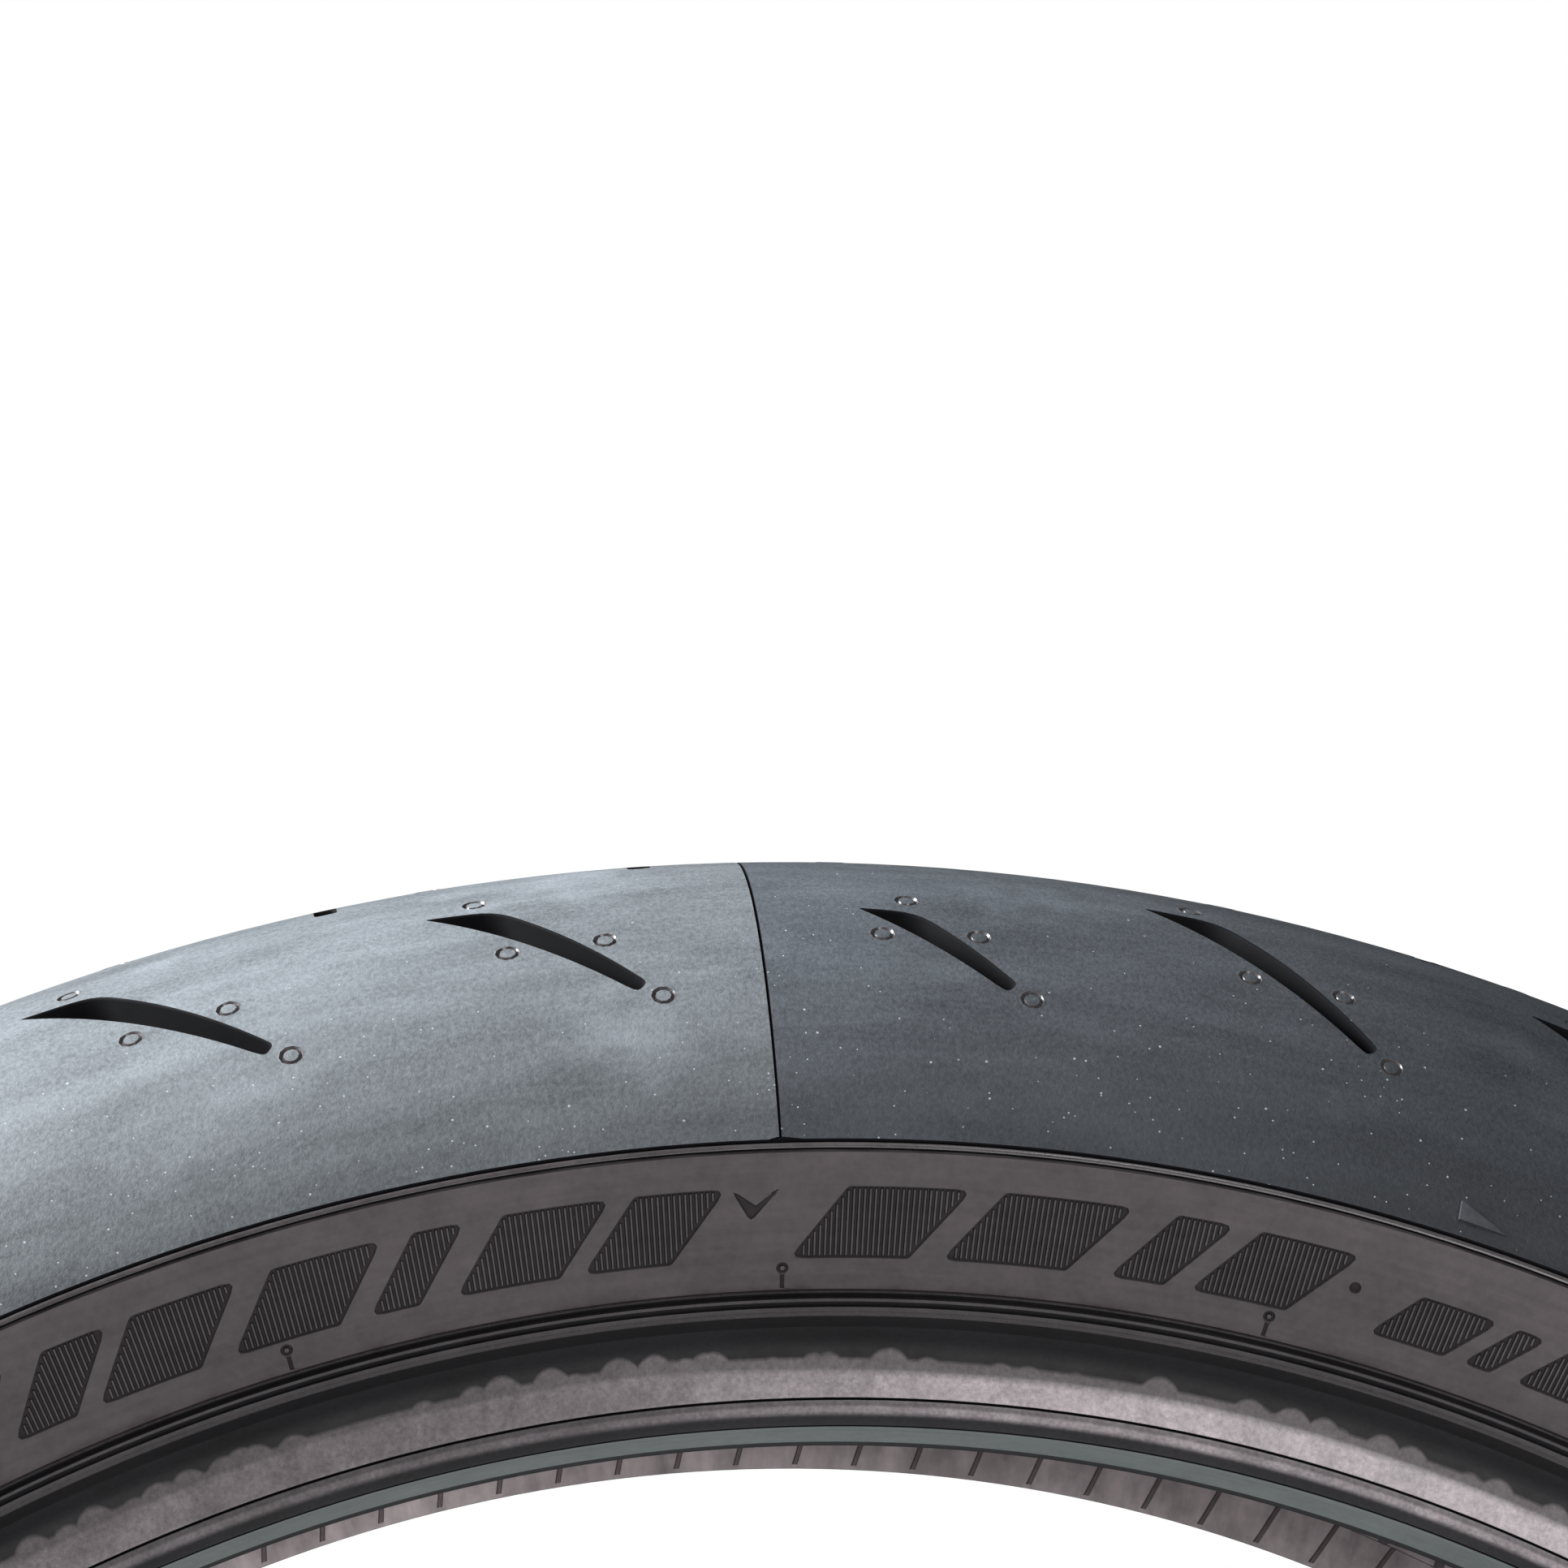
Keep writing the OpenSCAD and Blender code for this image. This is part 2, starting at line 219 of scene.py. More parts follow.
class Patch:
    """A flat sheet with relief: columns and rows of points, and loops at given heights."""

    def __init__(self, width, rows, columns, row_heights=None):
        self.width = width
        self.rows = rows
        self.columns = columns
        self.row_heights = row_heights or {}
        self.points = []
        self.edges = []
        self.heights = []
        self.tags = []
        self.outers = []

    def add_loop(self, loop, height, tag=0, closed=True):
        first = len(self.points)
        count = len(loop)
        edge_count = count if closed else count - 1
        self.points += [tuple(p) for p in loop]
        self.heights += [float(h) for h in np.broadcast_to(height, count)]
        self.tags += [tag] * count
        self.edges += [(first + i, first + (i + 1) % count) for i in range(edge_count)]

    def add_feature(self, loops, tag=0):
        """Nested loops from the outside in, as (loop, height). The tag starts at the third loop."""
        self.outers.append(np.array(loops[0][0]))
        for i, (loop, height) in enumerate(loops):
            self.add_loop(loop, height, tag if i > 1 else 0)

    def add_notch(self, middle, half, ends, depth, tag):
        """A straight V-shaped cut along the section, at u = middle."""
        low, high = ends
        level_step = 2.5
        levels = np.linspace(low, high, max(2, int((high - low) / level_step)))
        clear = half + 0.7
        box = [(middle - clear, low - 1), (middle + clear, low - 1), (middle + clear, high + 0.5),
               (middle - clear, high + 0.5)]
        self.outers.append(np.array(box))
        for du, h in ((-half - 0.3, 0), (-half, 0), (0, -depth), (half, 0), (half + 0.3, 0)):
            self.add_loop([(middle + du, v) for v in levels], h, tag if h else 0, closed=False)

    def build(self):
        """Vertices (u, s, height), their tags, and triangles."""
        u = np.linspace(0, self.width, self.columns + 1)
        grid = np.array([(x, y) for y in self.rows for x in u])
        blocked = np.zeros(len(grid), bool)
        for outer in self.outers:
            blocked |= inside(grid, outer)
        edge = (grid[:, 0] == 0) | (grid[:, 0] == self.width)
        edge |= (grid[:, 1] == self.rows[0]) | (grid[:, 1] == self.rows[-1])
        kept = grid[~blocked | edge]
        points = [Vector(p) for p in self.points] + [Vector(p) for p in kept]
        heights = self.heights + [self.row_heights.get(round(p[1], 4), 0.0) for p in kept]
        tags = self.tags + [0] * len(kept)
        verts, _, faces, origin, _, _ = delaunay_2d_cdt(points, self.edges, [], 0, 1e-5)
        table = []
        for v, sources in zip(verts, origin):
            height, tag = (heights[sources[0]], tags[sources[0]]) if sources else (0.0, 0)
            table.append((v.x, v.y, height, tag))
        return np.array(table), np.array([f for f in faces if len(f) == 3])


# ---- Surfaces ----

def tread_section(s, h):
    """Radius, distance from the middle plane, and normal, at s and at height h over the tread."""
    b = s / TREAD_ARC
    nr, ny = np.cos(b), np.sin(b)
    return ARC_C + (TREAD_ARC + h) * nr, (TREAD_ARC + h) * ny, nr, ny


def band_section(s, h):
    """The same for the sidewall band."""
    top, foot = np.array(BAND_TOP), np.array(BAND_FOOT)
    length = np.linalg.norm(foot - top)
    along = (foot - top) / length
    out = np.array((-along[1], along[0]))
    out = out if out[1] > 0 else -out
    k = s / length
    slope = 4 * BAND_BOW * (1 - 2 * k) / length
    nr = out[0] - slope * along[0]
    ny = out[1] - slope * along[1]
    size = np.sqrt(nr * nr + ny * ny)
    nr, ny = nr / size, ny / size
    bow = 4 * BAND_BOW * k * (1 - k)
    r = top[0] + along[0] * s + out[0] * bow + nr * h
    y = top[1] + along[1] * s + out[1] * bow + ny * h
    return r, y, nr, ny


def from_seat(*steps):
    """Section points (r, y), given as steps outwards from the bead seat and from the bead face."""
    return [(SEAT_R + dr, FACE_Y + dy) for dr, dy in steps]


def spun(theta, r, y, side):
    """A point at an angle in degrees from the top towards +X; side is -1 for the left."""
    a = np.radians(theta)
    return np.stack(np.broadcast_arrays(r * np.sin(a), side * y, r * np.cos(a)), -1) * MM


class Builder:
    """Collects vertices, faces and normals for one object."""

    def __init__(self):
        self.verts = []
        self.normals = []
        self.faces = []
        self.slots = []
        self.count = 0

    def add(self, verts, faces, flip, normals=None, slots=None):
        verts = np.asarray(verts)
        self.verts.append(verts)
        self.normals.append(np.full(verts.shape, np.nan) if normals is None else normals)
        faces = [tuple(int(i) + self.count for i in f) for f in faces]
        self.faces += [f[::-1] for f in faces] if flip else faces
        self.slots += list(slots) if slots is not None else [0] * len(faces)
        self.count += len(verts)

    def lathe(self, loop, side, closed=True, slot_of=None, start=0.0):
        """Turns a run of (r, y) points round the wheel axis."""
        theta = start + np.arange(COLUMNS) * 360 / COLUMNS
        loop = np.array(loop, float)
        n = len(loop)
        verts = spun(theta[:, None], loop[None, :, 0], loop[None, :, 1], side).reshape(-1, 3)
        faces = []
        slots = []
        for i in range(COLUMNS):
            j = (i + 1) % COLUMNS
            for k in range(n if closed else n - 1):
                m = (k + 1) % n
                faces.append((i * n + k, i * n + m, j * n + m, j * n + k))
                slots.append(slot_of(k) if slot_of else 0)
        self.add(verts, faces, side > 0, slots=slots)

    def finish(self, name, materials):
        """The object, with smooth shading and the wanted normals on its level surfaces."""
        mesh = bpy.data.meshes.new(name)
        verts = np.concatenate(self.verts)
        mesh.from_pydata(verts.tolist(), [], self.faces)
        mesh.polygons.foreach_set("material_index", self.slots)
        wanted = mesh.attributes.new("wanted_normal", "FLOAT_VECTOR", "POINT")
        normals = np.nan_to_num(np.concatenate(self.normals)).astype(np.float32)
        wanted.data.foreach_set("vector", normals.ravel())
        bm = bmesh.new()
        bm.from_mesh(mesh)
        bmesh.ops.remove_doubles(bm, verts=bm.verts, dist=WELD_M)
        bmesh.ops.dissolve_degenerate(bm, edges=bm.edges, dist=WELD_M / 4)
        bmesh.ops.recalc_face_normals(bm, faces=bm.faces)
        bm.to_mesh(mesh)
        bm.free()
        for material in materials:
            mesh.materials.append(material)
        mesh.shade_smooth()
        mesh.set_sharp_from_angle(angle=math.radians(SHARP_DEG))
        count = len(mesh.vertices)
        wish = np.zeros(count * 3, np.float32)
        mesh.attributes["wanted_normal"].data.foreach_get("vector", wish)
        wish = wish.reshape(-1, 3)
        mesh.attributes.remove(mesh.attributes["wanted_normal"])
        if np.abs(wish).max() > 0:
            corner = np.zeros(len(mesh.loops) * 3, np.float32)
            mesh.corner_normals.foreach_get("vector", corner)
            corner = corner.reshape(-1, 3)
            owner = np.zeros(len(mesh.loops), np.int32)
            mesh.loops.foreach_get("vertex_index", owner)
            asked = wish[owner]
            use = np.linalg.norm(asked, axis=1) > 0.5
            corner[use] = asked[use]
            mesh.normals_split_custom_set(corner.tolist())
        obj = bpy.data.objects.new(name, mesh)
        bpy.context.scene.collection.objects.link(obj)
        return obj


# ---- Tread ----

def tread_point(t, s):
    """A point on a flat pitch of tread, from its angle and its s."""
    return (t - MODULE_LOW) * TREAD_MM_PER_DEG, s


def groove_corners(start):
    """One slanted groove: a sharp tip towards the crown and a blunt end near the shoulder."""
    def trailing(s):
        return -0.4 - 0.2157 * (57 - s)

    def leading(s):
        return 0.15 - 0.1707 * (56.7 - s)
    degrees = [(trailing(start), start), (leading(start + 0.8), start + 0.8), (0.15, 56.7),
               (-0.1, 58.2), (-0.4, 57.0)]
    return [tread_point(t, s) for t, s in degrees]


def groove_loops(corners, radii, depth_at):
    """Support ring, rounded lip, drafted wall and floor of a groove."""
    lip = ((0.45, 0), (0.14, 0), (0.04, -0.03), (-0.05, -0.12))
    wall = ((-0.5, 0.82), (-0.72, 1))
    arc, point_step = 4, 1.1
    counts = edge_counts(rounded(corners, radii, lip[0][0], arc), point_step)

    def ring(grow):
        return densified(rounded(corners, radii, grow, arc), counts)
    loops = [(ring(grow), h) for grow, h in lip]
    wall_top = ring(-0.11)
    loops.append((wall_top, -np.minimum(0.4, depth_at(wall_top) * 0.3)))
    loops += [(ring(grow), -share * depth_at(ring(grow))) for grow, share in wall]
    return loops


def vent_loops(centre):
    """The sunken ring that a mould vent leaves."""
    rings = ((2.0, 0), (1.62, 0.05), (1.42, -0.25), (1.16, -0.25))
    return [(circle(centre, r), h) for r, h in rings]


def tread_patch(kind, seam):
    """One pitch of one half of the tread, flat, with its groove and its slot."""
    rows = list(np.linspace(0, TREAD_EDGE_S - 0.3, 24)) + [TREAD_EDGE_S]
    row_heights = {round(TREAD_EDGE_S, 4): -EDGE_LINE}
    patch = Patch(PITCH * TREAD_MM_PER_DEG, rows, int(PITCH / COLUMN), row_heights)
    corners = groove_corners(GROOVE_STARTS[kind])
    tip_u, tip_s = corners[0]

    def groove_depth(loop):
        away = np.linalg.norm(loop - np.array(corners[0]), axis=1)
        return np.clip(TIP_DEPTH + TIP_SLOPE * away, TIP_DEPTH, GROOVE_DEPTH)
    # The groove's and the slot's walls and floors are tagged for painted shade.
    patch.add_feature(groove_loops(corners, (0.15, 7, 0.9, 0.9, 0.9), groove_depth), PAINTED_SHADE)
    at, low, high = SLOT_AT[kind], SLOT_STARTS[kind], SLOT_ENDS[kind]
    slot = [tread_point(t, s) for t, s in ((at - SLOT_HALF_W, low), (at + SLOT_HALF_W, low),
                                           (at + SLOT_HALF_W, high), (at - SLOT_HALF_W, high))]
    patch.add_feature(groove_loops(slot, (0.8,) * 4, lambda loop: np.full(len(loop), SLOT_DEPTH)), PAINTED_SHADE)
    tip_vent = (tip_u / TREAD_MM_PER_DEG + MODULE_LOW + 1.3, tip_s - 2.9)
    # The sunken vent rings are tagged for the glossy, darker rubber: painted shade.
    for t, s in (*VENT_RINGS, tip_vent, (at - 5.65, 14.5)):
        centre = tread_point(t, s)
        patch.add_feature(vent_loops(centre), GLOSSY_SHADE)
        patch.add_loop(circle(centre, 1.02), 0.02)
        patch.add_loop(circle(centre, 0.6), 0.05)
    # The seam line's floor is tagged for painted shade.
    if seam:
        ends = (0, TREAD_EDGE_S - 0.6)
        patch.add_notch(tread_point(SEAM_AT, 0)[0], SEAM_HALF_W, ends, SEAM_DEPTH, PAINTED_SHADE)
    return patch.build()


def tread_mesh():
    """All pitches of both halves of the tread, and the smooth underside."""
    build = Builder()
    patches = {}
    for side in (-1, 1):
        for i in range(PITCHES):
            kind = i % 3 if side < 0 else (i - 1) % 3
            seam = i % SEAM_EVERY == 0
            if (kind, seam) not in patches:
                patches[kind, seam] = tread_patch(kind, seam)
            table, faces = patches[kind, seam]
            theta = PHASE + i * PITCH + MODULE_LOW + table[:, 0] / TREAD_MM_PER_DEG
            r, y, nr, ny = tread_section(table[:, 1], table[:, 2])
            level = np.abs(table[:, 2]) < 1e-6
            normals = spun(theta, nr, ny, side) / MM
            normals[~level] = np.nan
            # The fine line at the tread's edge gets painted shade, and tagged faces take their tag's
            # slot.
            in_edge_line = (table[:, 1] > TREAD_EDGE_S - 0.01)[faces].any(axis=1)
            slots = np.where(in_edge_line, PAINTED_SHADE, table[:, 3][faces].max(axis=1)).astype(int)
            build.add(spun(theta, r, y, side), faces, side > 0, normals, slots)
    under = [tread_section(TREAD_EDGE_S * (1 - k / 8), -CAP_T)[:2] for k in range(17)]
    r, y = tread_section(TREAD_EDGE_S, -EDGE_LINE)[:2]
    build.lathe([(r, y)] + under + [(r, -y)], -1, closed=False, start=PHASE + MODULE_LOW)
    return build


# ---- Sidewalls and beads ----

# Material slots of a rim cushion, in the order of its materials; the fine lines and the recess are
# darkened with painted shade.
BEAD, SEAT, LINE_SHADE, TOE, RIDGE, RECESS_SHADE = range(6)


def band_point(t, s):
    """A point on a flat sector of sidewall, from its angle and its s."""
    return (t + SECTOR / 2) * BAND_MM_PER_DEG, s


def slanted(start, width, low, high):
    """A slanted block's corners on the flat band, counter-clockwise in (u, s)."""
    slant = MARK_SLANT * (high - low) / (MARK_HIGH - MARK_LOW)
    corners = [(start + slant, low), (start + slant + width, low), (start + width, high), (start, high)]
    return [band_point(t, s) for t, s in corners]


def hatch_block(patch, corners):
    """A sunken block filled with ridges that stand nearly as high as the surface around it."""
    radii = (0.9,) * 4
    arc, point_step, margin = 3, 1.6, 0.1
    loops = []
    # The block's floor and the ridges' feet are tagged for painted shade between the ridges; the ridge
    # tops keep the plain rubber.
    for grow, h in ((0.28, 0), (0.04, 0), (-0.05, -MARK_DEPTH)):
        loop = rounded(corners, radii, grow, arc)
        loops.append((densified(loop, edge_counts(loop, point_step)), h))
    patch.add_feature(loops, PAINTED_SHADE)
    floor = np.array(rounded(corners, radii, -0.12, arc))
    u = floor[:, 0].min() + RIDGE_FOOT + margin
    while u < floor[:, 0].max() - RIDGE_FOOT:
        spans = [span_at(floor, u + k * RIDGE_FOOT) for k in (-1, 1)]
        low = max(s[0] for s in spans) + margin
        high = min(s[1] for s in spans) - margin
        if high - low > 0.6:
            for inset, h, tag in ((0, -MARK_DEPTH, PAINTED_SHADE), (RIDGE_FOOT - RIDGE_TOP, -RIDGE_SINK, 0)):
                left, right = u - RIDGE_FOOT + inset, u + RIDGE_FOOT - inset
                foot, top = low + inset, high - inset
                patch.add_loop([(left, foot), (right, foot), (right, top), (left, top)], h, tag)
        u += RIDGE_STEP


def span_at(loop, u):
    """The lowest and highest s where a vertical line crosses a convex loop."""
    hits = []
    for (u1, s1), (u2, s2) in zip(loop, np.roll(loop, -1, axis=0)):
        if (u1 <= u) != (u2 <= u):
            hits.append(s1 + (s2 - s1) * (u - u1) / (u2 - u1))
    return (min(hits), max(hits)) if len(hits) > 1 else (0, -1)


def band_patch(marked):
    """One sector of sidewall, flat, with its vents, and if marked with the blocks, dot and dent."""
    rows = list(np.linspace(BAND_START, BAND_LENGTH, 13))
    patch = Patch(SECTOR * BAND_MM_PER_DEG, rows, int(SECTOR / COLUMN))
    if marked:
        for start, width in MARK_CELLS:
            hatch_block(patch, slanted(start, width, MARK_LOW, MARK_HIGH))
        for start, width in SMALL_CELLS:
            hatch_block(patch, slanted(start, width, SMALL_LOW, MARK_HIGH))
        # The dot's and the dent's floors are tagged for painted shade.
        rings = ((1.1, 0), (0.8, 0), (0.6, -0.3), (0.3, -0.25))
        patch.add_feature([(circle(band_point(*DOT_AT), r), h) for r, h in rings], PAINTED_SHADE)
        corners = [band_point(t, s) for t, s in DENT]
        radii = (0.1, 0.1, 0.1, 0.4)
        steps = ((0.4, 0), (0.15, -0.03), (-0.08, -0.3))
        patch.add_feature([(rounded(corners, radii, grow, 2), h) for grow, h in steps], PAINTED_SHADE)
    first = (VENT_PHASE + SECTOR / 2) % VENT_STEP
    for k in range(int(SECTOR / VENT_STEP)):
        band_vent(patch, (first + k * VENT_STEP) * BAND_MM_PER_DEG)
    return patch.build()


def band_vent(patch, u):
    """A small vent ring near the sidewall's foot, and the slit from it down to the rim line."""
    centre, count = (u, BAND_LENGTH - 3.1), 12
    rings = ((0.92, 0), (0.82, 0), (0.68, -0.25), (0.4, -0.25))
    # The vent's floor and its slit are tagged for painted shade.
    patch.add_feature([(circle(centre, r, count), h) for r, h in rings], PAINTED_SHADE)
    patch.add_loop(circle(centre, 0.3, count), 0.05)
    low, high = BAND_LENGTH - 2.15, BAND_LENGTH - 0.25
    slits = []
    for half, h in ((0.5, 0), (0.3, 0), (0.12, -0.2)):
        left, right = u - half, u + half
        slits.append((np.array([(left, low), (right, low), (right, high), (left, high)]), h))
    patch.add_feature(slits, PAINTED_SHADE)


def sidewall_mesh(side, patches):
    """The moulded face of a sidewall, made of sectors, and its plain back."""
    build = Builder()
    for i in range(360 // SECTOR):
        table, faces = patches[i % 2]
        theta = (i - 0.5) * SECTOR + table[:, 0] / BAND_MM_PER_DEG
        r, y, nr, ny = band_section(table[:, 1], table[:, 2])
        normals = spun(theta, nr, ny, side) / MM
        normals[np.abs(table[:, 2]) > 1e-6] = np.nan
        # Tagged faces take the second slot: painted shade in the blocks, dot, dent and vents.
        marked = table[:, 3][faces].max(axis=1).astype(int)
        build.add(spun(theta, r, y, side), faces, side > 0, normals, marked)
    top = band_section(BAND_START, 0)[:2]
    foot = band_section(BAND_LENGTH, 0)[:2]
    lip = band_section(0.05, -EDGE_LINE)[:2]
    inner = from_seat((16.65, 6.15), (20, 2.35), (22.2, 4.5), (24, 6.5), (24.7, 5.8), (26.2, 6.8),
                      (29, 7.6), (31.5, 7.6))
    back = [foot, *inner, lip, top]
    # The back's faces at the band's foot and by the tread wing get painted shade, as dark fine lines.
    edges = (0, len(back) - 2)
    build.lathe(back, side, closed=False, slot_of=lambda k: PAINTED_SHADE if k in edges else 0)
    return build


def wing_mesh(side):
    """The thin rib between the two fine lines at the tread's edge."""
    def at(angle, h):
        return tread_section(angle * TREAD_ARC, h)[:2]
    low, high = EDGE_ANGLE - WING_ANGLE, EDGE_ANGLE
    span = high - low
    rib = ((0, -EDGE_LINE), (0.2, -0.06), (0.34, 0), (0.68, 0), (0.82, -0.06), (1, -EDGE_LINE))
    loop = [at(low + k * span, h) for k, h in rib] + [at(high, -CAP_T), at(low, -CAP_T)]
    build = Builder()
    # The two fine lines on either side of the rib get painted shade; the rib keeps the glossy rubber.
    build.lathe(loop, side, slot_of=lambda k: 0 if 0 < k < 4 else PAINTED_SHADE)
    return build


def rim_cushion_mesh(side):
    """Rim line, flange recess, bead face, heel, seat and toe."""
    rim_line = from_seat((16.65, 6.0), (16.3, 6.2), (16.05, 6.05), (15.85, 6.5), (15.5, 6.75),
                         (15.15, 6.62), (14.9, 6.25), (14.7, 5.95), (14.5, 6.1), (14.2, 6.0),
                         (13.85, 5.55))
    recess = from_seat((13.5, 4.9), (13.2, 4.3), (12.8, 3.65), (12.35, 3.0), (11.8, 2.2), (11.3, 1.3),
                       (10.8, 0.62), (10.3, 0.2), (9.7, 0.02), (9.0, 0))
    face = from_seat((8.0, 0), (6.8, 0), (5.6, 0), (4.6, 0), (4.2, 0))
    heel_radius = 4
    line_depths = {4: 0.02, 6.5: 0.35, 9: 0.02, 65: 0.03, 68: 0.25, 71: 0.02}
    heel = []
    for a in (0, 2.5, 4, 6.5, 9, 10.5, 13, 20, 30, 40, 50, 60, 65, 68, 71, 76, 83, 90):
        radius = heel_radius - line_depths.get(a, 0)
        heel += from_seat((heel_radius - radius * math.sin(math.radians(a)),
                           -heel_radius + radius * math.cos(math.radians(a))))
    seat = from_seat((0, -4.6), (0, -5.6), (0, -6.5), (0, -8.45), (-0.2, -9), (-0.75, -10.8),
                     (-1.15, -11.8), (-1.4, -12.4), (-1.6, -12.8), (-1.55, -12.95), (-1.1, -13.05),
                     (0.6, -13.35))
    back = from_seat((5.7, -13.05), (5.7, -12.25), (4.2, -12.15), (2.7, -11.2), (1.8, -10), (1.8, -2.6),
                     (2.3, -1.5), (3.9, -0.7), (8.7, -0.6), (11.2, -0.5), (14.1, -0.35), (14.1, -0.9),
                     (16.7, -0.1), (18.7, 1.2), (20, 2.35))
    loop = rim_line + recess + face + heel + seat + back
    first_heel = len(rim_line + recess + face)
    # The fine heel lines, the dark lines of the rim line, the top of the flange recess and the toe's tip
    # get painted shade; the ridges between them keep a glossy rubber of their own tone.
    ridge_faces = (0, 4, 8, 9, 10)
    line_faces = [first_heel + k for k in (2, 3, 12, 13)]
    seat_faces = range(first_heel + 14, first_heel + len(heel + seat) - 6)
    tip_faces = range(seat_faces.stop, seat_faces.stop + 3)
    toe_faces = range(tip_faces.stop, tip_faces.stop + 3)

    def slot_of(k):
        if k in line_faces:
            return LINE_SHADE
        if k in ridge_faces:
            return RIDGE
        if k < len(rim_line) + 3 or k in tip_faces:
            return RECESS_SHADE
        if k in toe_faces:
            return TOE
        return SEAT if k in seat_faces else BEAD
    build = Builder()
    build.lathe(loop, side, slot_of=slot_of)
    return build


def toe_ribs_mesh(side):
    """The curing bladder's raised lines where they run down over the bead toe."""
    path = from_seat((5.6, -13.03), (3.1, -13.18), (0.6, -13.33), (-1.0, -13.07))
    profile = ((-0.13, 0.1), (-0.06, -0.28), (0.06, -0.28), (0.13, 0.1))
    n, m = len(path), len(profile)
    faces = [(i * m + j, i * m + j + 1, (i + 1) * m + j + 1, (i + 1) * m + j)
             for i in range(n - 1) for j in range(m - 1)]
    faces += [(i * m, (i + 1) * m, (i + 2) * m - 1, (i + 1) * m - 1) for i in range(n - 1)]
    faces += [tuple(range(m))[::-1], tuple(range((n - 1) * m, n * m))]
    build = Builder()
    for k in range(RIB_LINES):
        middle = k * 360 / RIB_LINES
        points = [(middle + t + RIB_LEAN * (r - SEAT_R), r, y + h) for r, y in path for t, h in profile]
        t, r, y = np.array(points).T
        build.add(spun(t, r, y, side), faces, side > 0)
    return build


def liner_mesh():
    """The inside of the tyre, with the fine raised lines that a curing bladder leaves."""
    skin_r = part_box("inner_liner")[1][2] / MM - ARC_C - LINER_T
    angles = np.linspace(0, EDGE_ANGLE, 13)
    half = [(ARC_C + skin_r * math.cos(a), skin_r * math.sin(a)) for a in angles]
    half += from_seat((28.2, 5.0), (26.0, 3.5), (24.0, 1.5), (22.3, -0.9), (20.6, -3.4), (18.9, -6.0),
                      (17.2, -8.4), (15.4, -10.4), (13.2, -11.9), (10.8, -12.7), (8.1, -13.04),
                      (5.8, -13.05))
    skin = np.array([(r, -y) for r, y in half[::-1]] + half[1:])
    slope = np.gradient(skin, axis=0)
    slope /= np.linalg.norm(slope, axis=1)[:, None]
    inward = np.stack([slope[:, 1], -slope[:, 0]], 1)
    inward[inward[:, 0] * (skin[:, 0] - ARC_C) + inward[:, 1] * skin[:, 1] > 0] *= -1
    back = (skin - inward * LINER_T)[::-1]
    pitch = 360 / RIB_LINES
    steps = ((-0.2, 0), (-0.1, 0.35), (0, RIB_H), (0.1, 0.35), (0.2, 0), (1.15, 0))
    rib_faces = 4
    columns = [(i * pitch + t, h) for i in range(RIB_LINES) for t, h in steps]
    rows = len(skin) + len(back)
    fade = np.ones(len(skin))
    fade[0] = fade[-1] = 0
    verts = []
    for t, h in columns:
        ring = np.concatenate([skin + inward * (h * fade)[:, None], back])
        verts.append(spun(t, ring[:, 0], ring[:, 1], 1))
    verts = np.concatenate(verts)
    faces = []
    slots = []
    count = len(columns)
    for i in range(count):
        j = (i + 1) % count
        for k in range(rows):
            m = (k + 1) % rows
            faces.append((i * rows + k, i * rows + m, j * rows + m, j * rows + k))
            # Rib faces take the second slot, the darker rib rubber: painted shade along each rib.
            slots.append(int(i % len(steps) < rib_faces and k < len(skin) - 1))
    build = Builder()
    build.add(verts, faces, False, slots=slots)
    return build


def wear_pointers():
    """Small raised triangles near the tread's edges that point at the wear bars."""
    build = Builder()
    for side in (-1, 1):
        for i in range(POINTERS):
            at = POINTER_AT + i * 360 / POINTERS
            ring = [*POINTER_CORNERS, *((t, s, POINTER_ROOT) for t, s, _ in POINTER_CORNERS)]
            verts = []
            for t, s, h in ring:
                r, y = tread_section(s, h)[:2]
                verts.append(spun(at + t, r, y, side))
            faces = [(0, 1, 2), (5, 4, 3), (0, 3, 4, 1), (1, 4, 5, 2), (2, 5, 3, 0)]
            build.add(np.array(verts), faces, side < 0)
    return build


# ---- Materials ----

# The tread's dark and light segment tones: their difference is partly the segments' own finish and partly
# painted sheen.
TREAD_LIGHT = (0.285, 0.315, 0.342)
TREAD_DARK = (0.09, 0.101, 0.115)
DUST = (0.5, 0.53, 0.56)
# The frosted film on the bead face: waves of wear and painted shade round the wheel, its tops above the
# seat in millimetres, whole and worn, and the glossy band on the heel, which is partly a painted
# highlight.
FILM_WAVES = 5
FILM_TOP = 7.1
FRINGE_TOP = (9.2, 9.6)
LOBES_PER_DEG = 0.95
GLOSS_HIGHLIGHT_AT = 2.25


